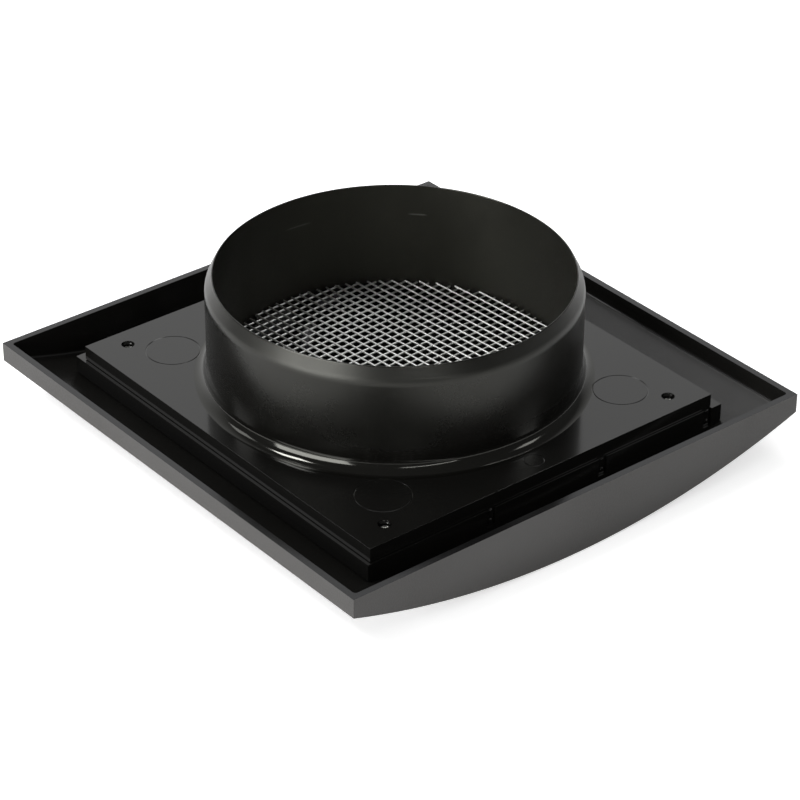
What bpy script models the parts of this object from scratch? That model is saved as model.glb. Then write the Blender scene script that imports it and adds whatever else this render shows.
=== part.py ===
"""Exhaust hood vent: a bowed wall cover, a spacer frame, a back plate with a duct spigot and a wire screen.

The vent lies on its bowed front, with the wall side up. X runs across the bow, Y along it, and the origin
is under the middle of the cover. All sizes are in metres.
"""

from math import asin, cos, pi, radians, sin, sqrt

import bmesh
import bpy
from mathutils import Matrix, Vector

# Gap between pieces that rest on or sit in each other
FIT_GAP = 0.0003

# Bowed front cover, a trench away from the spacer frame
TRENCH_X = 0.01955
TRENCH_Y = 0.0169
COVER_SIDE_HEIGHT = 0.0082
COVER_BOW = 0.0180
COVER_FACE_WALL = 0.0018
COVER_RIM_WALL = 0.0028
COVER_EDGE_BEVEL = 0.0004
COVER_FOOT_ROUND = 0.0015
BOW_SEGMENTS = 41

# Back plate: a shallow tray round the spigot, whose flat back stands a little proud of the cover's rim
PLATE_MARGIN_X = 0.01125
PLATE_MARGIN_Y = 0.0174
PLATE_WALL = 0.0022
PLATE_SKIRT = 0.00585
PLATE_PROUD = 0.0008
PLATE_SHIFT_X = -0.0018
PLATE_SHIFT_Y = -0.0018
PLATE_EDGE_BEVEL = 0.00015

# Duct spigot on the back plate
DUCT_DIAMETER = 0.1500
SPIGOT_HEIGHT = 0.0454
SPIGOT_WALL = 0.0034
SPIGOT_LIP = 0.00035
SPIGOT_TAPER = 0.0056
SPIGOT_FILLET = 0.0055
SPIGOT_COLLAR = 0.0008
SPIGOT_SEGMENTS = 96
FILLET_SEGMENTS = 6
FILLET_SINK = 0.00005

# Pan head screws sunk in the plate's corners, placed from its edges
SCREW_EDGE_X = 0.01445
SCREW_EDGE_Y = 0.0095
SCREW_SINK = 0.0018
SCREW_HEAD_DIAMETER = 0.0048
SCREW_CROWN_DIAMETER = 0.0024
SCREW_HEAD_HEIGHT = 0.0014
SCREW_HEAD_SIDE = 0.0006
SCREW_SHANK_DIAMETER = 0.0023
SCREW_LENGTH = 0.0090
SCREW_POINT = 0.0020
SCREW_SEGMENTS = 20
CROWN_SEGMENTS = 4
RECESS_WIDTH = 0.0007
RECESS_LENGTH = 0.0028
RECESS_DEPTH = 0.0008
PLATE_BOSS_WALL = 0.0018

# Round mould marks, placed inward from the screws, and the gate mark, from the plate's near edge
MOULD_MARK_DIAMETER = 0.0220
MOULD_MARK_INSET_X = 0.0115
MOULD_MARK_INSET_Y = 0.0153
GATE_MARK_DIAMETER = 0.0080
GATE_MARK_EDGE_Y = 0.0075
MARK_LINE_WIDTH = 0.00035
MARK_LINE_DEPTH = 0.0002
ROUND_SEGMENTS = 32

# Clip lugs under the plate's skirt, in the slots of the frame
LUG_WIDTH = 0.0036
LUG_THICKNESS = 0.0018
LUG_LENGTH = 0.0078
LUG_INNER_X = 0.0283
LUG_CORNER_EDGE_X = 0.00205
BEAD_RADIUS = 0.0012
BEAD_SPACING = 0.0044
BEAD_ABOVE_TIP = 0.0007
BEAD_SINK = 0.0004
BEAD_SEGMENTS = 12
BEAD_RINGS = 8

# Spacer frame between the plate and the cover
SHELF_SHOW_X = 0.0034
SHELF_SHOW_Y = 0.00265
SHELF_WIDTH = 0.0080
SHELF_THICKNESS = 0.0020
FRAME_WALL = 0.0022
COLUMN_WIDTH = 0.0120
CORNER_POST = 0.0110
LINTEL_HEIGHT = 0.0104
FRAME_EDGE_BEVEL = 0.0004
PAD_MARGIN = 0.0055
FRAME_BOSS_DIAMETER = 0.0070
FRAME_BOSS_LENGTH = 0.0050

# Welded wire screen on the ledge in the spigot
SCREEN_LEDGE = 0.0020
SCREEN_SINK = 0.0006
WIRE_WIDTH = 0.0009
SCREEN_THICKNESS = 0.0009
LAYER_LAP = 0.0003
WIRE_PITCH_X = 0.00401
WIRE_PITCH_Y = 0.00387
WIRES_PER_BAR = 3
WARP_ANGLE = radians(4.5)
WEFT_ANGLE = radians(2.7)

# Sizes across, worked out from the duct outwards
PLATE_WIDTH = DUCT_DIAMETER + 2 * PLATE_MARGIN_X
PLATE_LENGTH = DUCT_DIAMETER + 2 * PLATE_MARGIN_Y
FRAME_WIDTH = PLATE_WIDTH + 2 * SHELF_SHOW_X
FRAME_LENGTH = PLATE_LENGTH + 2 * SHELF_SHOW_Y
COVER_WIDTH = FRAME_WIDTH + 2 * (TRENCH_X + COVER_RIM_WALL)
COVER_LENGTH = FRAME_LENGTH + 2 * (TRENCH_Y + COVER_RIM_WALL)
BOW_RADIUS = ((COVER_WIDTH / 2) ** 2 + COVER_BOW**2) / (2 * COVER_BOW)
SPIGOT_RADIUS = DUCT_DIAMETER / 2
BORE_RADIUS = SPIGOT_RADIUS - SPIGOT_WALL
LEDGE_RADIUS = BORE_RADIUS - SCREEN_LEDGE
HEAD_HOLE_RADIUS = SCREW_HEAD_DIAMETER / 2 + FIT_GAP
SHANK_HOLE_RADIUS = SCREW_SHANK_DIAMETER / 2 + FIT_GAP
SLOT_WIDTH = LUG_WIDTH + 2 * FIT_GAP

# Heights, from the cover's rim
RIM_Z = COVER_BOW + COVER_SIDE_HEIGHT
PLATE_BACK_Z = RIM_Z + PLATE_PROUD
PLATE_FACE_Z = PLATE_BACK_Z - PLATE_WALL
SKIRT_FOOT_Z = PLATE_BACK_Z - PLATE_SKIRT
FRAME_TOP_Z = SKIRT_FOOT_Z - FIT_GAP
SHELF_FOOT_Z = FRAME_TOP_Z - SHELF_THICKNESS
FRAME_BOSS_FOOT_Z = SHELF_FOOT_Z - FRAME_BOSS_LENGTH
WINDOW_TOP_Z = FRAME_TOP_Z - LINTEL_HEIGHT
LEDGE_Z = PLATE_BACK_Z - SCREEN_SINK
COLLAR_FOOT_Z = PLATE_FACE_Z - SPIGOT_COLLAR
LUG_TIP_Z = SKIRT_FOOT_Z - LUG_LENGTH
SLOT_FOOT_Z = LUG_TIP_Z - FIT_GAP
HEAD_TOP_Z = PLATE_BACK_Z - SCREW_SINK
HEAD_FOOT_Z = HEAD_TOP_Z - SCREW_HEAD_HEIGHT
HEAD_SEAT_Z = HEAD_FOOT_Z - FIT_GAP
SCREW_TIP_Z = HEAD_FOOT_Z - SCREW_LENGTH

# Places on the plate, from the spigot's axis
PLATE_CENTRE = Vector((PLATE_SHIFT_X, PLATE_SHIFT_Y, 0))
LUG_CORNER_X = PLATE_WIDTH / 2 - LUG_CORNER_EDGE_X
LUG_PLACES_X = (-LUG_INNER_X, LUG_INNER_X, LUG_CORNER_X)
SCREW_X = PLATE_WIDTH / 2 - SCREW_EDGE_X
SCREW_Y = PLATE_LENGTH / 2 - SCREW_EDGE_Y
MOULD_MARK_X = SCREW_X - MOULD_MARK_INSET_X
MOULD_MARK_Y = SCREW_Y - MOULD_MARK_INSET_Y
GATE_MARK_Y = GATE_MARK_EDGE_Y - PLATE_LENGTH / 2

# How far a cutter runs past the face it cuts, how deep a joined form sinks into its neighbour,
# and how close two points of one mesh are before they are one
CUT = 0.004
SINK = 0.001
MERGE_DISTANCE = 0.000001


def clear_scene():
    for obj in list(bpy.data.objects):
        bpy.data.objects.remove(obj, do_unlink=True)


def new_collection(name):
    collection = bpy.data.collections.new(name)
    bpy.context.scene.collection.children.link(collection)
    return collection


def finish(name, colour, roughness, metallic=0.0):
    material = bpy.data.materials.new(name)
    material.use_nodes = True
    shader = material.node_tree.nodes["Principled BSDF"]
    shader.inputs["Base Color"].default_value = (*colour, 1)
    shader.inputs["Roughness"].default_value = roughness
    shader.inputs["Metallic"].default_value = metallic
    return material


def mesh_object(name, bm, collection):
    mesh = bpy.data.meshes.new(name)
    bm.to_mesh(mesh)
    bm.free()
    obj = bpy.data.objects.new(name, mesh)
    collection.objects.link(obj)
    return obj


def as_cutter(obj):
    obj.hide_render = True
    obj.display_type = "WIRE"
    return obj


def boxes(name, corners, collection):
    """Boxes that don't touch, each between a low and a high corner, in one object."""
    bm = bmesh.new()
    for low, high in corners:
        low, high = Vector(low), Vector(high)
        placed = Matrix.Translation((low + high) / 2) @ Matrix.Diagonal((*(high - low), 1))
        bmesh.ops.create_cube(bm, size=1, matrix=placed)
    return mesh_object(name, bm, collection)


def combine(obj, other, operation):
    step = obj.modifiers.new(operation.title(), "BOOLEAN")
    step.operation = operation
    step.solver = "EXACT"
    step.object = as_cutter(other)


def bevel(obj, width, segments=2):
    step = obj.modifiers.new("Edge bevel", "BEVEL")
    step.width = width
    step.segments = segments
    step.limit_method = "ANGLE"
    step.angle_limit = radians(40)


def shade(obj, material, angle=radians(30)):
    obj.data.materials.clear()
    obj.data.materials.append(material)
    obj.data.shade_smooth()
    obj.data.set_sharp_from_angle(angle=angle)


def evaluated_mesh(obj, name):
    """The object's mesh with its modifiers applied."""
    bpy.context.view_layer.update()
    mesh = bpy.data.meshes.new_from_object(obj.evaluated_get(bpy.context.evaluated_depsgraph_get()))
    mesh.name = name
    return mesh


def bow_height(x, radius):
    """Height of an arc of the bow, whose centre stands over the middle of the cover."""
    return BOW_RADIUS - sqrt(radius**2 - x**2)


def bowed_outline(half_width, top, radius):
    """Points of a flat outline with a straight top and the bow for its foot."""
    reach = asin(half_width / radius)
    points = [(half_width, top), (-half_width, top)]
    for i in range(BOW_SEGMENTS + 1):
        x = radius * sin(reach * (2 * i / BOW_SEGMENTS - 1))
        points.append((x, bow_height(x, radius)))
    return points


def bowed_block(name, half_width, length, top, radius, collection):
    """The bowed outline drawn in XZ and extruded along Y, as a mesh."""
    curve = bpy.data.curves.new(name, "CURVE")
    curve.dimensions = "2D"
    curve.fill_mode = "BOTH"
    curve.extrude = length / 2
    outline = bowed_outline(half_width, top, radius)
    spline = curve.splines.new("POLY")
    spline.points.add(len(outline) - 1)
    for point, (x, z) in zip(spline.points, outline):
        point.co = (x, z, 0, 1)
    spline.use_cyclic_u = True
    drawn = bpy.data.objects.new(name + "_outline", curve)
    collection.objects.link(drawn)
    drawn.rotation_euler.x = pi / 2
    mesh = evaluated_mesh(drawn, name)
    mesh.transform(drawn.matrix_world)
    bm = bmesh.new()
    bm.from_mesh(mesh)
    bmesh.ops.remove_doubles(bm, verts=bm.verts, dist=MERGE_DISTANCE)
    bmesh.ops.recalc_face_normals(bm, faces=bm.faces)
    bm.to_mesh(mesh)
    bm.free()
    bpy.data.objects.remove(drawn, do_unlink=True)
    obj = bpy.data.objects.new(name, mesh)
    collection.objects.link(obj)
    return obj


def turned(name, profile, segments, collection, centre=(0, 0, 0)):
    """A profile of radius and height, turned about an upright axis, and closed if it starts off that axis."""
    bm = bmesh.new()
    ring = [bm.verts.new((r, 0, z)) for r, z in profile]
    followers = ring[1:] if profile[0][0] == 0 else ring[1:] + ring[:1]
    for a, b in zip(ring, followers):
        bm.edges.new((a, b))
    obj = mesh_object(name, bm, collection)
    obj.location = centre
    screw = obj.modifiers.new("Turn", "SCREW")
    screw.axis = "Z"
    screw.steps = segments
    screw.render_steps = segments
    screw.use_merge_vertices = True
    screw.merge_threshold = MERGE_DISTANCE
    return obj


def posts(name, places, radius, low, high, collection, segments=SCREW_SEGMENTS):
    """Upright cylinders at the given places, in one object."""
    bm = bmesh.new()
    for x, y in places:
        placed = Matrix.Translation((x, y, (low + high) / 2))
        bmesh.ops.create_cone(bm, cap_ends=True, segments=segments, radius1=radius, radius2=radius,
                              depth=high - low, matrix=placed)
    return mesh_object(name, bm, collection)


def corner_places(dx, dy):
    """Four places about the spigot's axis."""
    return [(PLATE_SHIFT_X + sx * dx, PLATE_SHIFT_Y + sy * dy) for sx in (-1, 1) for sy in (-1, 1)]


def front_cover(parts, cutters):
    cover = bowed_block("front_cover", COVER_WIDTH / 2, COVER_LENGTH, RIM_Z, BOW_RADIUS, parts)
    inside = bowed_block("cover_inside", COVER_WIDTH / 2 - COVER_RIM_WALL,
                         COVER_LENGTH - 2 * COVER_RIM_WALL, RIM_Z + CUT,
                         BOW_RADIUS - COVER_FACE_WALL, cutters)
    bevel(inside, COVER_FOOT_ROUND, 3)
    combine(cover, inside, "DIFFERENCE")
    bevel(cover, COVER_EDGE_BEVEL)
    shade(cover, finish("satin_black_plastic", (0.022, 0.021, 0.020), 0.42))


def spacer_frame(parts, cutters):
    half_x, half_y = FRAME_WIDTH / 2, FRAME_LENGTH / 2
    frame = bowed_block("spacer_frame", half_x, FRAME_LENGTH, FRAME_TOP_Z,
                        BOW_RADIUS - COVER_FACE_WALL - FIT_GAP, parts)
    bevel(frame, FRAME_EDGE_BEVEL)
    chamber = boxes("frame_chamber", [((FRAME_WALL - half_x, FRAME_WALL - half_y, -CUT),
                                       (half_x - FRAME_WALL, half_y - FRAME_WALL, SHELF_FOOT_Z))], cutters)
    combine(frame, chamber, "DIFFERENCE")

    # The mouth is cut in two strokes, which leave a pad with a boss under each screw
    screws = corner_places(SCREW_X, SCREW_Y)
    mouth_x, mouth_y = half_x - SHELF_WIDTH, half_y - SHELF_WIDTH
    left, right = min(x for x, _ in screws) + PAD_MARGIN, max(x for x, _ in screws) - PAD_MARGIN
    near, far = min(y for _, y in screws) + PAD_MARGIN, max(y for _, y in screws) - PAD_MARGIN
    along = boxes("mouth_along", [((left, -mouth_y, -CUT), (right, mouth_y, FRAME_TOP_Z + CUT))], cutters)
    across = boxes("mouth_across", [((-mouth_x, near, -CUT), (mouth_x, far, FRAME_TOP_Z + CUT))], cutters)
    combine(frame, along, "DIFFERENCE")
    combine(frame, across, "DIFFERENCE")
    combine(frame, posts("frame_bosses", screws, FRAME_BOSS_DIAMETER / 2, FRAME_BOSS_FOOT_Z,
                         SHELF_FOOT_Z + SINK, cutters), "UNION")
    combine(frame, posts("pilot_holes", screws, SHANK_HOLE_RADIUS, FRAME_BOSS_FOOT_Z - CUT,
                         FRAME_TOP_Z + CUT, cutters), "DIFFERENCE")

    # Open windows low in both long walls, between the posts and the columns under the inner slots
    columns = [PLATE_SHIFT_X + side * LUG_INNER_X for side in (-1, 1)]
    starts = [CORNER_POST - half_x] + [x + COLUMN_WIDTH / 2 for x in columns]
    ends = [x - COLUMN_WIDTH / 2 for x in columns] + [half_x - CORNER_POST]
    windows = []
    slots = []
    for side in (-1, 1):
        outer, inner = side * (half_y + CUT), side * (half_y - FRAME_WALL - CUT)
        y_low, y_high = min(outer, inner), max(outer, inner)
        windows += [((a, y_low, -CUT), (b, y_high, WINDOW_TOP_Z)) for a, b in zip(starts, ends)]
        reach = side * (half_y - SHELF_WIDTH - CUT)
        y_low, y_high = min(outer, reach), max(outer, reach)
        for place in LUG_PLACES_X:
            x = PLATE_SHIFT_X + place
            slots.append(((x - SLOT_WIDTH / 2, y_low, SLOT_FOOT_Z),
                          (x + SLOT_WIDTH / 2, y_high, FRAME_TOP_Z + CUT)))
    combine(frame, boxes("frame_windows", windows, cutters), "DIFFERENCE")
    combine(frame, boxes("frame_slots", slots, cutters), "DIFFERENCE")
    shade(frame, finish("gloss_black_frame", (0.012, 0.012, 0.012), 0.2))


def spigot_profile():
    """The spigot's section from its lip down the outside, through the plate and up the bore."""
    fillet_z = PLATE_BACK_Z + SPIGOT_FILLET - FILLET_SINK
    fillet_r = SPIGOT_RADIUS + SPIGOT_FILLET
    profile = [(BORE_RADIUS + SPIGOT_LIP, PLATE_BACK_Z + SPIGOT_HEIGHT),
               (SPIGOT_RADIUS, PLATE_BACK_Z + SPIGOT_HEIGHT - SPIGOT_TAPER)]
    for i in range(FILLET_SEGMENTS + 1):
        turn = pi / 2 * i / FILLET_SEGMENTS
        profile.append((fillet_r - SPIGOT_FILLET * cos(turn), fillet_z - SPIGOT_FILLET * sin(turn)))
    root_z = PLATE_BACK_Z - PLATE_WALL / 2
    profile += [(fillet_r, root_z),
                (SPIGOT_RADIUS, root_z),
                (SPIGOT_RADIUS, COLLAR_FOOT_Z),
                (LEDGE_RADIUS, COLLAR_FOOT_Z),
                (LEDGE_RADIUS, LEDGE_Z),
                (BORE_RADIUS, LEDGE_Z),
                (BORE_RADIUS, PLATE_BACK_Z + SPIGOT_HEIGHT)]
    return profile


def add_clip_lugs(plate, cutters):
    """Tongues under the skirt, each with two round beads on its outer face."""
    x, y, _ = PLATE_CENTRE
    tongues = []
    beads = bmesh.new()
    for side in (-1, 1):
        face = y + side * PLATE_LENGTH / 2
        back = face - side * LUG_THICKNESS
        for place in LUG_PLACES_X:
            tongues.append(((x + place - LUG_WIDTH / 2, min(face, back), LUG_TIP_Z),
                            (x + place + LUG_WIDTH / 2, max(face, back), SKIRT_FOOT_Z + SINK)))
            for i in range(2):
                z = LUG_TIP_Z + BEAD_RADIUS + BEAD_ABOVE_TIP + i * BEAD_SPACING
                seat = Matrix.Translation((x + place, face - side * BEAD_SINK, z))
                bmesh.ops.create_uvsphere(beads, u_segments=BEAD_SEGMENTS, v_segments=BEAD_RINGS,
                                          radius=BEAD_RADIUS, matrix=seat)
    combine(plate, boxes("lug_tongues", tongues, cutters), "UNION")
    combine(plate, mesh_object("lug_beads", beads, cutters), "UNION")


def add_screw_seats(plate, cutters):
    """Bosses under the plate, with a sunk seat for each screw's head and a hole for its shank."""
    screws = corner_places(SCREW_X, SCREW_Y)
    combine(plate, posts("plate_bosses", screws, HEAD_HOLE_RADIUS + PLATE_BOSS_WALL, SKIRT_FOOT_Z,
                         PLATE_FACE_Z + SINK, cutters), "UNION")
    combine(plate, posts("head_holes", screws, HEAD_HOLE_RADIUS, HEAD_SEAT_Z,
                         PLATE_BACK_Z + CUT, cutters), "DIFFERENCE")
    combine(plate, posts("shank_holes", screws, SHANK_HOLE_RADIUS, SKIRT_FOOT_Z - CUT,
                         HEAD_SEAT_Z + SINK, cutters), "DIFFERENCE")


def add_mould_marks(plate, cutters):
    """Fine round lines that the mould left in the plate's back."""
    marks = [(x, y, MOULD_MARK_DIAMETER / 2) for x, y in corner_places(MOULD_MARK_X, MOULD_MARK_Y)]
    marks.append((PLATE_SHIFT_X, PLATE_SHIFT_Y + GATE_MARK_Y, GATE_MARK_DIAMETER / 2))
    low, high = PLATE_BACK_Z - MARK_LINE_DEPTH, PLATE_BACK_Z + CUT
    for i, (x, y, radius) in enumerate(marks):
        inner, outer = radius - MARK_LINE_WIDTH / 2, radius + MARK_LINE_WIDTH / 2
        groove = turned(f"mark_{i}", [(inner, high), (outer, high), (outer, low), (inner, low)],
                        ROUND_SEGMENTS, cutters, (x, y, 0))
        combine(plate, groove, "DIFFERENCE")


def back_plate(parts, cutters):
    half_x, half_y = PLATE_WIDTH / 2, PLATE_LENGTH / 2
    x, y, _ = PLATE_CENTRE
    plate = boxes("back_plate", [((x - half_x, y - half_y, SKIRT_FOOT_Z),
                                  (x + half_x, y + half_y, PLATE_BACK_Z))], parts)
    bevel(plate, PLATE_EDGE_BEVEL)
    hollow = boxes("plate_hollow",
                   [((x - half_x + PLATE_WALL, y - half_y + PLATE_WALL, SKIRT_FOOT_Z - CUT),
                     (x + half_x - PLATE_WALL, y + half_y - PLATE_WALL, PLATE_FACE_Z))], cutters)
    combine(plate, hollow, "DIFFERENCE")
    duct_hole = posts("duct_hole", [(x, y)], (BORE_RADIUS + SPIGOT_RADIUS) / 2, SKIRT_FOOT_Z - CUT,
                      PLATE_BACK_Z + CUT, cutters, SPIGOT_SEGMENTS)
    combine(plate, duct_hole, "DIFFERENCE")
    combine(plate, turned("spigot", spigot_profile(), SPIGOT_SEGMENTS, cutters, PLATE_CENTRE), "UNION")
    add_clip_lugs(plate, cutters)
    add_screw_seats(plate, cutters)
    add_mould_marks(plate, cutters)
    shade(plate, finish("gloss_black_plate", (0.014, 0.013, 0.012), 0.16))


def screw_profile():
    """Half a pan head screw's section, from the middle of its crown down to its tip."""
    crown, head, shank = (d / 2 for d in (SCREW_CROWN_DIAMETER, SCREW_HEAD_DIAMETER, SCREW_SHANK_DIAMETER))
    side_z = HEAD_FOOT_Z + SCREW_HEAD_SIDE
    profile = [(0, HEAD_TOP_Z)]
    for i in range(CROWN_SEGMENTS + 1):
        turn = pi / 2 * i / CROWN_SEGMENTS
        profile.append((crown + (head - crown) * sin(turn), side_z + (HEAD_TOP_Z - side_z) * cos(turn)))
    profile += [(head, HEAD_FOOT_Z), (shank, HEAD_FOOT_Z), (shank, SCREW_TIP_Z + SCREW_POINT)]
    profile.append((0, SCREW_TIP_Z))
    return profile


def plate_screws(parts, cutters):
    """Four pan head screws with a cross recess, sharing one mesh."""
    blank = turned("screw_blank", screw_profile(), SCREW_SEGMENTS, cutters)
    low, high = HEAD_TOP_Z - RECESS_DEPTH, HEAD_TOP_Z + CUT
    long, short = RECESS_LENGTH / 2, RECESS_WIDTH / 2
    for i, (x, y) in enumerate(((long, short), (short, long))):
        arm = boxes(f"recess_arm_{i}", [((-x, -y, low), (x, y, high))], cutters)
        combine(blank, arm, "DIFFERENCE")
    mesh = evaluated_mesh(as_cutter(blank), "plate_screw")
    steel = finish("zinc_steel", (0.60, 0.60, 0.58), 0.3, 1.0)
    for i, (x, y) in enumerate(corner_places(SCREW_X, SCREW_Y)):
        placed = bpy.data.objects.new(f"plate_screw_{i + 1}", mesh)
        placed.location = (x, y, 0)
        parts.objects.link(placed)
        shade(placed, steel)


def wire_screen(parts, cutters):
    """Every third wire of the welded screen, as two crossing layers of bars trimmed to the bore."""
    radius = BORE_RADIUS - FIT_GAP
    low = LEDGE_Z + FIT_GAP
    high = low + SCREEN_THICKNESS
    weft_top = (low + high + LAYER_LAP) / 2
    warp_foot = weft_top - LAYER_LAP

    def bars(name, pitch, turn, z_low, z_high, collection):
        bm = bmesh.new()
        count = int(radius / pitch)
        for i in range(-count, count + 1):
            size = Matrix.Diagonal((2 * radius + CUT, WIRE_WIDTH, z_high - z_low, 1))
            at = Matrix.Translation((0, i * pitch, (z_low + z_high) / 2))
            bmesh.ops.create_cube(bm, size=1, matrix=Matrix.Rotation(turn, 4, "Z") @ at @ size)
        obj = mesh_object(name, bm, collection)
        obj.location = PLATE_CENTRE
        return obj

    screen = bars("wire_screen", WIRES_PER_BAR * WIRE_PITCH_Y, WEFT_ANGLE, low, weft_top, parts)
    warp = bars("warp_bars", WIRES_PER_BAR * WIRE_PITCH_X, WARP_ANGLE + pi / 2, warp_foot, high, cutters)
    disc = posts("screen_trim", [(PLATE_SHIFT_X, PLATE_SHIFT_Y)], radius, low - CUT, high + CUT, cutters,
                 SPIGOT_SEGMENTS)
    combine(screen, warp, "UNION")
    combine(screen, disc, "INTERSECT")
    shade(screen, finish("steel_wire", (0.62, 0.62, 0.60), 0.3, 1.0))


def build():
    clear_scene()
    parts = new_collection("exhaust_hood_vent")
    cutters = new_collection("cutters")
    front_cover(parts, cutters)
    spacer_frame(parts, cutters)
    back_plate(parts, cutters)
    plate_screws(parts, cutters)
    wire_screen(parts, cutters)


build()
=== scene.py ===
"""Looks of the exhaust hood vent: its fine mouldings and wire screen, finishes, floor, light and camera.

All sizes are in metres.
"""

from math import asin, atan2, cos, hypot, pi, radians, sin, sqrt, tan

import bmesh
import bpy
from mathutils import Matrix, Quaternion, Vector

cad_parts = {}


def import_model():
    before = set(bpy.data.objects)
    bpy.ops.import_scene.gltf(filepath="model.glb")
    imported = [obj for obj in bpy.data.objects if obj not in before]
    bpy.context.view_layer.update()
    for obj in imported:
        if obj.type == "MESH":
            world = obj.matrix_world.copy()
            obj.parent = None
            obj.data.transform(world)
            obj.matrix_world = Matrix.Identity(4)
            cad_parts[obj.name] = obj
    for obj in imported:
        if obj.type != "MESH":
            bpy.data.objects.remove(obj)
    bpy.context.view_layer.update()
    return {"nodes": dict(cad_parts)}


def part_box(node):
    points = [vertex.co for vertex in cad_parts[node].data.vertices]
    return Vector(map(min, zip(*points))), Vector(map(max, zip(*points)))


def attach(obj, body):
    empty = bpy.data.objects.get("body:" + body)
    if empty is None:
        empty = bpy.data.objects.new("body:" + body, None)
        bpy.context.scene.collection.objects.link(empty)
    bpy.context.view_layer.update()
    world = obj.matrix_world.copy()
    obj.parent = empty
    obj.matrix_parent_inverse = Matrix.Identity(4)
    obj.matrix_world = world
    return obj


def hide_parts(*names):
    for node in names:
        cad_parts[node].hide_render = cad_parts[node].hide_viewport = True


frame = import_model()

# Camera fitted to the photo
FOCAL_LENGTH = 143.27
SENSOR = 36.0
CAMERA_PLACE = Vector((-0.6870, -0.8454, 0.6902))
CAMERA_RIGHT = Vector((0.77644, -0.63017, 0.00459))
CAMERA_UP = Vector((0.33005, 0.41284, 0.84890))
CAMERA_FORWARD = Vector((0.53685, 0.65760, -0.52854))
SHIFT_X = -0.00149
SHIFT_Y = -0.00189
CLIP_NEAR = 0.05
CLIP_FAR = 50.0

# Bowed cover
COVER_HALF_X = 0.1120
COVER_HALF_Y = 0.11475
COVER_BOW = 0.0180
RIM_Z = 0.0262
FACE_WALL = 0.0018
RIM_WALL = 0.0028
COVER_EDGE = 0.0004
COVER_FOOT_ROUND = 0.0015
BOW_RADIUS = (COVER_HALF_X**2 + COVER_BOW**2) / (2 * COVER_BOW)

# Back plate
CENTRE_X = -0.0018
CENTRE_Y = -0.0018
PLATE_HALF_X = 0.08625
PLATE_HALF_Y = 0.0924
BACK_Z = 0.0270
FACE_Z = 0.0248
SKIRT_Z = 0.02115
PLATE_WALL = 0.0022
PLATE_EDGE = 0.00006
SCREW_COUNT = 4
SCREW_X = 0.0718
SCREW_Y = 0.0829
SEAT_Z = 0.0235
HEAD_HOLE_RADIUS = 0.0027
SHANK_HOLE_RADIUS = 0.00145
BOSS_RADIUS = 0.0045
MARK_X = 0.0603
MARK_Y = 0.0676
MARK_RADIUS = 0.0110
GATE_Y = -0.0849
GATE_RADIUS = 0.0040
MARK_WIDTH = 0.0005
MARK_DEPTH = 0.00012

# Clip lugs
LUG_WIDTH = 0.0036
LUG_THICKNESS = 0.0018
LUG_TIP_Z = 0.01335
LUG_PLACES = (-0.0283, 0.0283, 0.0842)
BEAD_RADIUS = 0.0012
BEAD_SINK = 0.0004
BEAD_HEIGHTS = (0.01525, 0.01965)

# Spigot
SPIGOT_RADIUS = 0.0750
BORE_RADIUS = 0.0716
LEDGE_RADIUS = 0.0696
LEDGE_Z = 0.0264
COLLAR_Z = 0.0240
MOUTH_Z = 0.0724
TAPER_HEIGHT = 0.0056
TAPER_WIDTH = 0.00305
TAPER_BLEND = 0.0020
SHOULDER_Z = MOUTH_Z - TAPER_HEIGHT
LIP_ROUND = 0.0003
FILLET = 0.0055
FILLET_SINK = 0.00002

# Wire screen, placed from the solid that it stands for
WIRE_DIAMETER = 0.0009
LAYER_OFFSET = WIRE_DIAMETER * 0.22
PITCH_X = 0.00401
PITCH_Y = 0.00387
WARP_ANGLE = radians(4.5)
WEFT_ANGLE = radians(2.7)
WELD_RADIUS = 0.00062
WELD_FLATNESS = 0.7

# Fineness of the meshes
BOW_SEGMENTS = 160
TURN_SEGMENTS = 256
MARK_SEGMENTS = 96
POST_SEGMENTS = 64
BEAD_SEGMENTS = 24
BEAD_RINGS = 16
FILLET_STEPS = 24
LIP_STEPS = 10
FOOT_ROUND_STEPS = 6
EDGE_STEPS = 3
WIRE_SIDES = 8
WELD_SUBDIVISIONS = 1

# Angles between faces from which an edge is bevelled, or drawn sharp
BEVEL_ANGLE = radians(40)
COVER_SHARP_ANGLE = radians(32)
PLATE_SHARP_ANGLE = radians(20)
WIRE_SHARP_ANGLE = radians(60)

# How far a cutter runs past a face, how deep a joined form sinks in, and how near counts as touching
CUT = 0.004
SINK = 0.001
MERGE = 0.000001

# A face whose normal is this upright is one of the plate's flat ones
LEVEL_NORMAL = 0.9999

# Places of the finishes in the cover's list, and in the plate's
OUTSIDE, INSIDE, RIM = range(3)
PLATE, SPIGOT, BORE = range(3)

# Noise patterns: scale, detail and roughness, or only the last two where the scale is the finish's own
SMEAR_NOISE = (14.0, 5.0, 0.6)
PATCH_NOISE = (38.0, 3.0, 0.6)
SCRATCH_NOISE = (1.0, 3.0, 0.5)
MOTTLE_NOISE = (1.0, 0.5)
GRAIN_NOISE = (2.0, 0.5)
SPANGLE_NOISE = (3.0, 0.6)

# Scratches: how their space is turned and stretched, and the range of the noise that draws them
SCRATCH_TURN = (0.5, 0.3, 0.4)
SCRATCH_STRETCH = (1500.0, 1500.0, 90.0)
SCRATCH_RANGE = (0.60, 0.74)
PATCH_RANGE = (0.50, 0.66)
WORN_COLOUR = (0.16, 0.16, 0.15, 1)

# Plastic: ranges of noise, the shares of roughness that smears make, and how far its colour strays
PLASTIC_IOR = 1.54
SMEAR_RANGE = (0.35, 0.7)
SMEAR_SHARES = (0.85, 1.25)
MOTTLE_RANGE = (0.3, 0.7)
COLOUR_STRAY = 0.15

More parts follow.
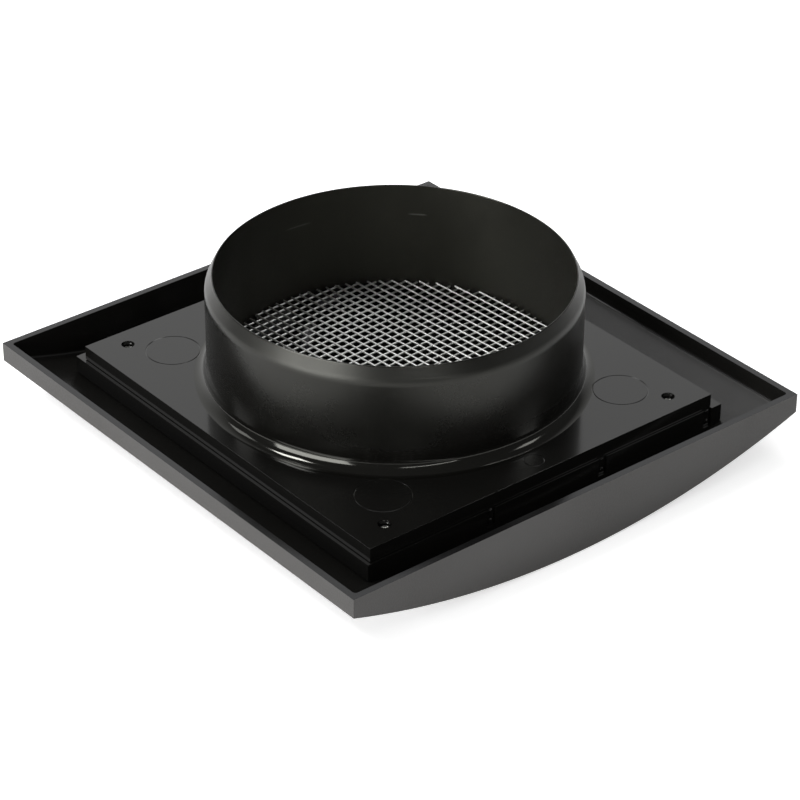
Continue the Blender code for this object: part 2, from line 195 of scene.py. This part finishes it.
# Roughness up the spigot's outside, through its fillet, wall, taper and lip: height and value
SPIGOT_ROUGHNESS = (
    (BACK_Z + FILLET * 0.6, 0.10),
    (BACK_Z + FILLET * 2, 0.27),
    (SHOULDER_Z - TAPER_BLEND, 0.29),
    (SHOULDER_Z + TAPER_BLEND * 0.4, 0.37),
    (MOUTH_Z - LIP_ROUND * 2, 0.37),
    (MOUTH_Z, 0.18),
)

# Pale lines round the bore: height, and first and last angle in degrees, and how they fade
BORE_LINES = ((0.0590, 40.0, 47.0), (0.0595, 79.5, 90.0))
LINE_FADE = 0.0005
LINE_FULL_SHARE = 0.5
LINE_STRENGTH = 0.35

# Plated steel
SPANGLE_RANGE = (0.3, 0.7)
SPANGLE_HEIGHT = 0.000008

# Backdrop, brightest in a level direction a little left of where the camera looks
BACKDROP_WAY = (0.454, 0.891, 0.0)
BACKDROP_RANGE = (0.45, 0.86)
BACKDROP_LEVELS = (0.13, 1.0)
WORLD_SEEN = 1.0
WORLD_LIGHT = 0.45

# Floor
FLOOR_SIZE = 4
FLOOR_Z = -0.0005
FLOOR_COLOUR = (0.85, 0.85, 0.85, 1)
FLOOR_ROUGHNESS = 0.9
FLOOR_SEEN = 0.55
FLOOR_MIRRORED = 0.17
FLOOR_LIGHT = 0.0

# Lamps: azimuth from +X and elevation in degrees, distance, width, height, watts, and tilt in degrees
LAMPS = {
    "left_high_softbox": (154, 52, 1.9, 0.55, 0.3, 13, 0),
    "left_side_softbox": (184, 14, 1.8, 1.4, 0.8, 28, 0),
    "left_back_softbox": (128, 34, 2.0, 0.5, 0.4, 1.7, 0),
    "front_strip": (251, 19, 2.0, 1.2, 0.05, 2.7, 32),
    "right_softbox": (318, 35, 2.0, 0.4, 0.4, 2.0, 0),
    "back_softbox": (50, 67, 2.0, 1.5, 0.6, 9, 0),
}


def new_object(name, data):
    obj = bpy.data.objects.new(name, data)
    bpy.context.scene.collection.objects.link(obj)
    return obj


def from_bmesh(name, bm):
    mesh = bpy.data.meshes.new(name)
    bm.to_mesh(mesh)
    bm.free()
    return new_object(name, mesh)


def give(obj, *finishes):
    obj.data.materials.clear()
    for finish in finishes:
        obj.data.materials.append(finish)


def boxes(name, corners):
    bm = bmesh.new()
    for low, high in corners:
        low, high = Vector(low), Vector(high)
        placed = Matrix.Translation((low + high) / 2) @ Matrix.Diagonal((*(high - low), 1))
        bmesh.ops.create_cube(bm, size=1, matrix=placed)
    return from_bmesh(name, bm)


def posts(name, places, radius, low, high, segments=POST_SEGMENTS):
    bm = bmesh.new()
    for x, y in places:
        placed = Matrix.Translation((x, y, (low + high) / 2))
        bmesh.ops.create_cone(bm, cap_ends=True, segments=segments, radius1=radius, radius2=radius,
                              depth=high - low, matrix=placed)
    return from_bmesh(name, bm)


def turned(name, profile, segments, centre):
    """A closed profile of radius and height, turned about an upright axis."""
    bm = bmesh.new()
    ring = [bm.verts.new((r, 0, z)) for r, z in profile]
    for a, b in zip(ring, ring[1:] + ring[:1]):
        bm.edges.new((a, b))
    obj = from_bmesh(name, bm)
    obj.location = centre
    turn = obj.modifiers.new("Turn", "SCREW")
    turn.axis = "Z"
    turn.steps = segments
    turn.render_steps = segments
    turn.use_merge_vertices = True
    turn.merge_threshold = MERGE
    return obj


def combine(obj, other, operation):
    step = obj.modifiers.new(operation.title(), "BOOLEAN")
    step.operation = operation
    step.solver = "EXACT"
    step.object = other


def bevel(obj, width, segments):
    step = obj.modifiers.new("Edge", "BEVEL")
    step.width = width
    step.segments = segments
    step.limit_method = "ANGLE"
    step.angle_limit = BEVEL_ANGLE


def settle(obj, sharp_angle):
    """Applies a piece's modifiers, removes the tools they used, and weights its normals by face size."""
    tools = [step.object for step in obj.modifiers if step.type == "BOOLEAN"]
    bpy.context.view_layer.update()
    graph = bpy.context.evaluated_depsgraph_get()
    mesh = bpy.data.meshes.new_from_object(obj.evaluated_get(graph))
    mesh.name = obj.name
    obj.modifiers.clear()
    obj.data = mesh
    for tool in tools:
        bpy.data.objects.remove(tool, do_unlink=True)
    mesh.shade_smooth()
    mesh.set_sharp_from_angle(angle=sharp_angle)
    weight = obj.modifiers.new("Weighted normals", "WEIGHTED_NORMAL")
    weight.keep_sharp = True


def bow_height(x, radius):
    return BOW_RADIUS - sqrt(radius**2 - x**2)


def bowed_block(name, half_width, length, top, radius):
    """A block with a straight top and the bow for its foot."""
    reach = asin(half_width / radius)
    outline = [(half_width, top), (-half_width, top)]
    for i in range(BOW_SEGMENTS + 1):
        x = radius * sin(reach * (2 * i / BOW_SEGMENTS - 1))
        outline.append((x, bow_height(x, radius)))
    bm = bmesh.new()
    near = [bm.verts.new((x, -length / 2, z)) for x, z in outline]
    far = [bm.verts.new((x, length / 2, z)) for x, z in outline]
    bm.faces.new(near)
    bm.faces.new(far[::-1])
    for i in range(len(outline)):
        j = (i + 1) % len(outline)
        bm.faces.new((near[j], near[i], far[i], far[j]))
    bmesh.ops.recalc_face_normals(bm, faces=bm.faces)
    return from_bmesh(name, bm)


def cover_piece(outside, inside, rim):
    cover = bowed_block("cover_moulding", COVER_HALF_X, 2 * COVER_HALF_Y, RIM_Z, BOW_RADIUS)
    hollow = bowed_block("cover_hollow", COVER_HALF_X - RIM_WALL, 2 * (COVER_HALF_Y - RIM_WALL),
                         RIM_Z + CUT, BOW_RADIUS - FACE_WALL)
    bevel(hollow, COVER_FOOT_ROUND, FOOT_ROUND_STEPS)
    combine(cover, hollow, "DIFFERENCE")
    bevel(cover, COVER_EDGE, EDGE_STEPS)
    settle(cover, COVER_SHARP_ANGLE)
    give(cover, outside, inside, rim)
    for face in cover.data.polygons:
        x, y, z = face.center
        within = abs(x) < COVER_HALF_X - RIM_WALL + MERGE and abs(y) < COVER_HALF_Y - RIM_WALL + MERGE
        above = z > bow_height(x, BOW_RADIUS) + FACE_WALL / 2
        if z > RIM_Z - MERGE:
            face.material_index = RIM
        else:
            face.material_index = INSIDE if within and above else OUTSIDE
    return cover


def arc(centre, radius, start, end, steps):
    """Points of an arc in radius and height, between two angles."""
    return [(centre[0] + radius * cos(start + (end - start) * i / steps),
             centre[1] + radius * sin(start + (end - start) * i / steps)) for i in range(steps + 1)]


def spigot_profile():
    """The spigot's section, from its lip down its outside to the collar, and up by the ledge to the bore."""
    slope = atan2(TAPER_WIDTH, TAPER_HEIGHT)
    blend_radius = TAPER_BLEND / tan(slope / 2)
    fillet_r = SPIGOT_RADIUS + FILLET
    fillet_z = BACK_Z + FILLET - FILLET_SINK
    root_z = BACK_Z - PLATE_WALL / 2
    profile = arc((BORE_RADIUS + LIP_ROUND, MOUTH_Z - LIP_ROUND), LIP_ROUND, pi, slope, LIP_STEPS)
    profile += arc((SPIGOT_RADIUS - blend_radius, SHOULDER_Z - TAPER_BLEND), blend_radius, slope, 0,
                   LIP_STEPS)
    profile += arc((fillet_r, fillet_z), FILLET, pi, 3 * pi / 2, FILLET_STEPS)
    profile += [(fillet_r, root_z), (SPIGOT_RADIUS, root_z), (SPIGOT_RADIUS, COLLAR_Z),
                (LEDGE_RADIUS, COLLAR_Z), (LEDGE_RADIUS, LEDGE_Z), (BORE_RADIUS, LEDGE_Z)]
    return profile


def lug_tools():
    """The clip lugs' tongues, and the round beads on their outer faces."""
    tongues = []
    beads = bmesh.new()
    for side in (-1, 1):
        face = CENTRE_Y + side * PLATE_HALF_Y
        back = face - side * LUG_THICKNESS
        for place in LUG_PLACES:
            x = CENTRE_X + place
            tongues.append(((x - LUG_WIDTH / 2, min(face, back), LUG_TIP_Z),
                            (x + LUG_WIDTH / 2, max(face, back), SKIRT_Z + SINK)))
            for z in BEAD_HEIGHTS:
                seat = Matrix.Translation((x, face - side * BEAD_SINK, z))
                bmesh.ops.create_uvsphere(beads, u_segments=BEAD_SEGMENTS, v_segments=BEAD_RINGS,
                                          radius=BEAD_RADIUS, matrix=seat)
    return boxes("lug_tongues", tongues), from_bmesh("lug_beads", beads)


def ring_groove(name, x, y, radius):
    """A fine ring with a V section, as the mould leaves round an ejector."""
    above = BACK_Z + MARK_DEPTH
    profile = [(radius - MARK_WIDTH, above), (radius + MARK_WIDTH, above), (radius, BACK_Z - MARK_DEPTH)]
    return turned(name, profile, MARK_SEGMENTS, (x, y, 0))


def corner_places(dx, dy):
    return [(CENTRE_X + sx * dx, CENTRE_Y + sy * dy) for sx in (-1, 1) for sy in (-1, 1)]


def plate_piece(plate_finish, spigot_finish, bore_finish):
    low = Vector((CENTRE_X - PLATE_HALF_X, CENTRE_Y - PLATE_HALF_Y, SKIRT_Z))
    high = Vector((CENTRE_X + PLATE_HALF_X, CENTRE_Y + PLATE_HALF_Y, BACK_Z))
    plate = boxes("plate_moulding", [(low, high)])
    bevel(plate, PLATE_EDGE, EDGE_STEPS)
    hollow_low = low + Vector((PLATE_WALL, PLATE_WALL, -CUT))
    hollow_high = Vector((high.x - PLATE_WALL, high.y - PLATE_WALL, FACE_Z))
    combine(plate, boxes("plate_hollow", [(hollow_low, hollow_high)]), "DIFFERENCE")
    duct_hole = posts("duct_hole", [(CENTRE_X, CENTRE_Y)], (BORE_RADIUS + SPIGOT_RADIUS) / 2,
                      SKIRT_Z - CUT, BACK_Z + CUT, TURN_SEGMENTS)
    combine(plate, duct_hole, "DIFFERENCE")
    spigot = turned("spigot", spigot_profile(), TURN_SEGMENTS, (CENTRE_X, CENTRE_Y, 0))
    combine(plate, spigot, "UNION")
    for lug_part in lug_tools():
        combine(plate, lug_part, "UNION")
    screws = corner_places(SCREW_X, SCREW_Y)
    combine(plate, posts("plate_bosses", screws, BOSS_RADIUS, SKIRT_Z, FACE_Z + SINK), "UNION")
    combine(plate, posts("head_holes", screws, HEAD_HOLE_RADIUS, SEAT_Z, BACK_Z + CUT), "DIFFERENCE")
    shank_holes = posts("shank_holes", screws, SHANK_HOLE_RADIUS, SKIRT_Z - CUT, SEAT_Z + SINK)
    combine(plate, shank_holes, "DIFFERENCE")
    for i, (x, y) in enumerate(corner_places(MARK_X, MARK_Y)):
        combine(plate, ring_groove(f"mark_{i}", x, y, MARK_RADIUS), "DIFFERENCE")
    combine(plate, ring_groove("gate_mark", CENTRE_X, CENTRE_Y + GATE_Y, GATE_RADIUS), "DIFFERENCE")
    settle(plate, PLATE_SHARP_ANGLE)
    give(plate, plate_finish, spigot_finish, bore_finish)
    for face in plate.data.polygons:
        x, y, z = face.center
        r = hypot(x - CENTRE_X, y - CENTRE_Y)
        on_spigot = r < SPIGOT_RADIUS + FILLET and z > BACK_Z - MARK_DEPTH
        if abs(face.normal.z) > LEVEL_NORMAL:
            face.material_index = PLATE
        elif r < BORE_RADIUS + MERGE and z > COLLAR_Z:
            face.material_index = BORE
        else:
            face.material_index = SPIGOT if on_spigot else PLATE
    return plate


def wires(bm, centre, radius, pitch, turn, z):
    """Straight wires across a circle, all at one height."""
    count = int(radius / pitch)
    middle = Matrix.Translation((centre.x, centre.y, z))
    heading = Matrix.Rotation(turn, 4, "Z")
    lying = Matrix.Rotation(pi / 2, 4, "Y")
    for i in range(-count, count + 1):
        offset = i * pitch
        reach = sqrt(radius**2 - offset**2)
        along = heading @ Matrix.Translation((0, offset, 0)) @ lying
        bmesh.ops.create_cone(bm, cap_ends=True, segments=WIRE_SIDES, radius1=WIRE_DIAMETER / 2,
                              radius2=WIRE_DIAMETER / 2, depth=2 * reach, matrix=middle @ along)


def welds(bm, centre, radius):
    """A flat bead of metal wherever two wires cross, placed by both wires' distances from the centre."""
    weft = Vector((cos(WEFT_ANGLE), sin(WEFT_ANGLE)))
    warp = Vector((cos(WARP_ANGLE + pi / 2), sin(WARP_ANGLE + pi / 2)))
    weft_side, warp_side = Vector((-weft.y, weft.x)), Vector((-warp.y, warp.x))
    det = weft_side.x * warp_side.y - weft_side.y * warp_side.x
    rows, columns = int(radius / PITCH_Y), int(radius / PITCH_X)
    flat = Matrix.Diagonal((1, 1, WELD_FLATNESS, 1))
    for i in range(-rows, rows + 1):
        for j in range(-columns, columns + 1):
            from_weft, from_warp = i * PITCH_Y, j * PITCH_X
            x = (from_weft * warp_side.y - from_warp * weft_side.y) / det
            y = (from_warp * weft_side.x - from_weft * warp_side.x) / det
            if hypot(x, y) < radius - 2 * WELD_RADIUS:
                at = Matrix.Translation((centre.x + x, centre.y + y, centre.z)) @ flat
                bmesh.ops.create_icosphere(bm, subdivisions=WELD_SUBDIVISIONS, radius=WELD_RADIUS,
                                           matrix=at)


def wire_screen(finish):
    low, high = (Vector(corner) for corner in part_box("wire_screen"))
    centre = (low + high) / 2
    radius = (high.x - low.x) / 2
    bm = bmesh.new()
    wires(bm, centre, radius, PITCH_Y, WEFT_ANGLE, centre.z - LAYER_OFFSET)
    wires(bm, centre, radius, PITCH_X, WARP_ANGLE + pi / 2, centre.z + LAYER_OFFSET)
    welds(bm, centre, radius)
    screen = from_bmesh("welded_screen", bm)
    screen.data.shade_smooth()
    screen.data.set_sharp_from_angle(angle=WIRE_SHARP_ANGLE)
    give(screen, finish)
    return screen


def hold(piece, node):
    """A piece rides with the vent and stands for a solid of the frame, which is hidden."""
    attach(piece, "root")
    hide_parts(node)


def new_finish(name):
    material = bpy.data.materials.new(name)
    material.use_nodes = True
    tree = material.node_tree
    return material, tree, tree.nodes["Principled BSDF"]


def add(tree, kind, **settings):
    node = tree.nodes.new(kind)
    for key, value in settings.items():
        setattr(node, key, value)
    return node


def feed(tree, socket, value):
    """Links a node's output to a socket, or sets a number or colour on it."""
    if isinstance(value, bpy.types.NodeSocket):
        tree.links.new(value, socket)
    else:
        socket.default_value = value


def calculate(tree, operation, *values):
    node = add(tree, "ShaderNodeMath", operation=operation)
    for socket, value in zip(node.inputs, values):
        feed(tree, socket, value)
    return node.outputs[0]


def blend(tree, kind, share, first, second):
    """The first value or colour where the share is none, and the second where it is one."""
    node = add(tree, "ShaderNodeMix", data_type=kind)
    for name, value in (("Factor", share), ("A", first), ("B", second)):
        feed(tree, node.inputs[name], value)
    return node.outputs["Result"]


def ramp_range(tree, source, low, high, out_low, out_high):
    node = add(tree, "ShaderNodeMapRange")
    node.inputs["From Min"].default_value = low
    node.inputs["From Max"].default_value = high
    node.inputs["To Min"].default_value = out_low
    node.inputs["To Max"].default_value = out_high
    tree.links.new(source, node.inputs["Value"])
    return node.outputs["Result"]


def own_space(tree):
    return add(tree, "ShaderNodeTexCoord").outputs["Object"]


def noise(tree, scale, detail, roughness, where=None):
    """Noise in the object's own space, or in the given one."""
    node = add(tree, "ShaderNodeTexNoise")
    node.inputs["Scale"].default_value = scale
    node.inputs["Detail"].default_value = detail
    node.inputs["Roughness"].default_value = roughness
    tree.links.new(where or own_space(tree), node.inputs["Vector"])
    return node.outputs["Fac"]


def relief(tree, shader, source, height):
    """Bump on the shader's normal, this high where the source is one."""
    bump = add(tree, "ShaderNodeBump")
    bump.inputs["Strength"].default_value = 1.0
    bump.inputs["Distance"].default_value = height
    tree.links.new(source, bump.inputs["Height"])
    tree.links.new(bump.outputs["Normal"], shader.inputs["Normal"])


def scuffs(tree, amount):
    """Fine scratches in patches, as a share between none and the amount."""
    drawn_out = add(tree, "ShaderNodeMapping")
    drawn_out.inputs["Rotation"].default_value = SCRATCH_TURN
    drawn_out.inputs["Scale"].default_value = SCRATCH_STRETCH
    tree.links.new(own_space(tree), drawn_out.inputs["Vector"])
    strokes = noise(tree, *SCRATCH_NOISE, drawn_out.outputs["Vector"])
    fine = ramp_range(tree, strokes, *SCRATCH_RANGE, 0.0, 1.0)
    patches = ramp_range(tree, noise(tree, *PATCH_NOISE), *PATCH_RANGE, 0.0, amount)
    return calculate(tree, "MULTIPLY", fine, patches)


def by_height(tree, stops):
    """A value that changes with height on the spigot, through stops of height and value."""
    split = add(tree, "ShaderNodeSeparateXYZ")
    tree.links.new(own_space(tree), split.inputs[0])
    share = ramp_range(tree, split.outputs["Z"], BACK_Z, MOUTH_Z, 0.0, 1.0)
    ramp = add(tree, "ShaderNodeValToRGB")
    elements = ramp.color_ramp.elements
    heights, values = zip(*stops)
    places = [(z - BACK_Z) / (MOUTH_Z - BACK_Z) for z in heights]
    for place in places[1:-1]:
        elements.new(place)
    for element, place, value in zip(elements, places, values):
        element.position = place
        element.color = (value, value, value, 1)
    tree.links.new(share, ramp.inputs["Fac"])
    return ramp.outputs["Color"]


def nearness(tree, value, middle, near, far):
    """One within the near distance of the middle value, falling to none at the far distance."""
    offset = calculate(tree, "SUBTRACT", value, middle)
    return ramp_range(tree, calculate(tree, "ABSOLUTE", offset), near, far, 1.0, 0.0)


def lines_round_bore(tree, lines):
    """Fine lines round parts of the bore, as a share. They fade to both sides and towards their ends."""
    from_axis = add(tree, "ShaderNodeVectorMath", operation="SUBTRACT")
    from_axis.inputs[1].default_value = (CENTRE_X, CENTRE_Y, 0)
    tree.links.new(own_space(tree), from_axis.inputs[0])
    split = add(tree, "ShaderNodeSeparateXYZ")
    tree.links.new(from_axis.outputs["Vector"], split.inputs[0])
    angle = calculate(tree, "ARCTAN2", split.outputs["Y"], split.outputs["X"])
    total = 0.0
    for height, start, end in lines:
        middle, half = radians(start + end) / 2, radians(end - start) / 2
        level = nearness(tree, split.outputs["Z"], height, 0.0, LINE_FADE)
        along = nearness(tree, angle, middle, half * LINE_FULL_SHARE, half)
        mark = calculate(tree, "MULTIPLY", level, along)
        total = calculate(tree, "MULTIPLY_ADD", mark, LINE_STRENGTH, total)
    return total


def moulded_plastic(name, colour, roughness, grain_scale, grain_height, mottling=0.05, scuffed=0.0,
                    shine=(1, 1, 1), lines=()):
    """Black moulded plastic with a fine grain and uneven gloss.

    Its roughness is a number, or stops of height and roughness.
    """
    material, tree, shader = new_finish(name)
    shader.inputs["IOR"].default_value = PLASTIC_IOR
    shader.inputs["Specular Tint"].default_value = (*shine, 1)
    smear = noise(tree, *SMEAR_NOISE)
    uneven = ramp_range(tree, smear, *SMEAR_RANGE, *SMEAR_SHARES)
    spread = by_height(tree, roughness) if isinstance(roughness, tuple) else roughness
    level = calculate(tree, "MULTIPLY", uneven, spread)
    mottle = ramp_range(tree, noise(tree, grain_scale, *MOTTLE_NOISE), *MOTTLE_RANGE,
                        1 - mottling, 1 + mottling)
    tree.links.new(calculate(tree, "MULTIPLY", level, mottle), shader.inputs["Roughness"])
    dark, light = ([c * share for c in colour] for share in (1 - COLOUR_STRAY, 1 + COLOUR_STRAY))
    shade = blend(tree, "RGBA", smear, (*dark, 1), (*light, 1))
    if scuffed:
        shade = blend(tree, "RGBA", scuffs(tree, scuffed), shade, WORN_COLOUR)
    if lines:
        shade = blend(tree, "RGBA", lines_round_bore(tree, lines), shade, WORN_COLOUR)
    tree.links.new(shade, shader.inputs["Base Color"])
    relief(tree, shader, noise(tree, grain_scale, *GRAIN_NOISE), grain_height)
    return material


def plated_steel(name, dark, light, rough_low, rough_high, scale):
    """Plated steel with a fine uneven sheen."""
    material, tree, shader = new_finish(name)
    shader.inputs["Metallic"].default_value = 1.0
    spangle = noise(tree, scale, *SPANGLE_NOISE)
    tint = blend(tree, "RGBA", spangle, (*dark, 1), (*light, 1))
    tree.links.new(tint, shader.inputs["Base Color"])
    gloss = ramp_range(tree, spangle, *SPANGLE_RANGE, rough_low, rough_high)
    tree.links.new(gloss, shader.inputs["Roughness"])
    relief(tree, shader, spangle, SPANGLE_HEIGHT)
    return material


def camera():
    data = bpy.data.cameras.new("photo_camera")
    data.lens = FOCAL_LENGTH
    data.sensor_width = SENSOR
    data.shift_x = SHIFT_X
    data.shift_y = SHIFT_Y
    data.clip_start = CLIP_NEAR
    data.clip_end = CLIP_FAR
    eye = new_object("photo_camera", data)
    turn = Matrix((CAMERA_RIGHT, CAMERA_UP, -CAMERA_FORWARD)).transposed().to_4x4()
    eye.matrix_world = Matrix.Translation(CAMERA_PLACE) @ turn
    bpy.context.scene.camera = eye


def by_ray(tree, seen, glossy, other):
    """One level for camera and transmission rays, another for reflections, and a third for the rest."""
    path = add(tree, "ShaderNodeLightPath").outputs
    direct = calculate(tree, "MAXIMUM", path["Is Camera Ray"], path["Is Transmission Ray"])
    indirect = blend(tree, "FLOAT", path["Is Glossy Ray"], other, glossy)
    return blend(tree, "FLOAT", direct, indirect, seen)


def world():
    """A studio whose white backdrop shows in reflections, with a dim ceiling and front."""
    surround = bpy.data.worlds.new("studio")
    surround.use_nodes = True
    bpy.context.scene.world = surround
    tree = surround.node_tree
    back = tree.nodes["Background"]
    back.inputs["Color"].default_value = (1, 1, 1, 1)
    where = add(tree, "ShaderNodeTexCoord")
    towards = add(tree, "ShaderNodeVectorMath", operation="DOT_PRODUCT")
    towards.inputs[1].default_value = BACKDROP_WAY
    tree.links.new(where.outputs["Generated"], towards.inputs[0])
    backdrop = ramp_range(tree, towards.outputs["Value"], *BACKDROP_RANGE, *BACKDROP_LEVELS)
    tree.links.new(by_ray(tree, WORLD_SEEN, backdrop, WORLD_LIGHT), back.inputs["Strength"])


def floor():
    bm = bmesh.new()
    bmesh.ops.create_grid(bm, x_segments=1, y_segments=1, size=FLOOR_SIZE)
    obj = from_bmesh("floor", bm)
    obj.location.z = FLOOR_Z
    material, tree, shader = new_finish("white_floor")
    shader.inputs["Base Color"].default_value = FLOOR_COLOUR
    shader.inputs["Roughness"].default_value = FLOOR_ROUGHNESS
    shader.inputs["Emission Color"].default_value = (1, 1, 1, 1)
    shown = by_ray(tree, FLOOR_SEEN, FLOOR_MIRRORED, FLOOR_LIGHT)
    tree.links.new(shown, shader.inputs["Emission Strength"])
    give(obj, material)


def softbox(name, azimuth, elevation, distance, width, height, watts, tilt):
    """A lamp that faces the vent. A tilt lowers its side of higher azimuth."""
    data = bpy.data.lights.new(name, "AREA")
    data.shape = "RECTANGLE"
    data.size = width
    data.size_y = height
    data.energy = watts
    lamp = new_object(name, data)
    turn, rise = radians(azimuth), radians(elevation)
    way = Vector((cos(rise) * cos(turn), cos(rise) * sin(turn), sin(rise)))
    lamp.location = way * distance
    facing = (-way).to_track_quat("-Z", "Y")
    lamp.rotation_euler = (facing @ Quaternion((0, 0, 1), -radians(tilt))).to_euler()
    lamp.visible_camera = False


def main():
    camera()
    world()
    floor()
    for name, settings in LAMPS.items():
        softbox(name, *settings)
    satin = moulded_plastic("satin_black", colour=(0.035, 0.033, 0.031), roughness=0.42,
                            grain_scale=1500.0, grain_height=0.00006, mottling=0.16)
    inside = moulded_plastic("inside_black", colour=(0.0075, 0.0073, 0.0066), roughness=0.20,
                             grain_scale=700.0, grain_height=0.000003, scuffed=0.05)
    rim = moulded_plastic("rim_black", colour=(0.0050, 0.0050, 0.0050), roughness=0.15,
                          grain_scale=900.0, grain_height=0.000006, shine=(0.75, 0.76, 0.78))
    gloss = moulded_plastic("gloss_black", colour=(0.0045, 0.0044, 0.0040), roughness=0.12,
                            grain_scale=700.0, grain_height=0.000003, mottling=0.02, scuffed=0.03,
                            shine=(1, 1, 0.985))
    wall = moulded_plastic("spigot_black", colour=(0.0030, 0.0029, 0.0025), roughness=SPIGOT_ROUGHNESS,
                           grain_scale=900.0, grain_height=0.000006, mottling=0.03, scuffed=0.06,
                           shine=(0.87, 0.87, 0.80))
    bore = moulded_plastic("bore_black", colour=(0.0070, 0.0068, 0.0056), roughness=0.40,
                           grain_scale=900.0, grain_height=0.000006, scuffed=0.06,
                           shine=(1, 1, 0.84), lines=BORE_LINES)
    zinc = plated_steel("zinc_plate", dark=(0.75, 0.75, 0.73), light=(0.97, 0.97, 0.95),
                        rough_low=0.15, rough_high=0.3, scale=1200.0)
    wire = plated_steel("galvanised_wire", dark=(0.80, 0.80, 0.78), light=(0.97, 0.97, 0.95),
                        rough_low=0.25, rough_high=0.45, scale=900.0)
    hold(cover_piece(satin, inside, rim), "front_cover")
    hold(plate_piece(gloss, wall, bore), "back_plate")
    hold(wire_screen(wire), "wire_screen")
    give(frame["nodes"]["spacer_frame"], gloss)
    for i in range(SCREW_COUNT):
        give(frame["nodes"][f"plate_screw_{i + 1}"], zinc)
    bpy.context.scene.view_settings.view_transform = "Standard"


main()
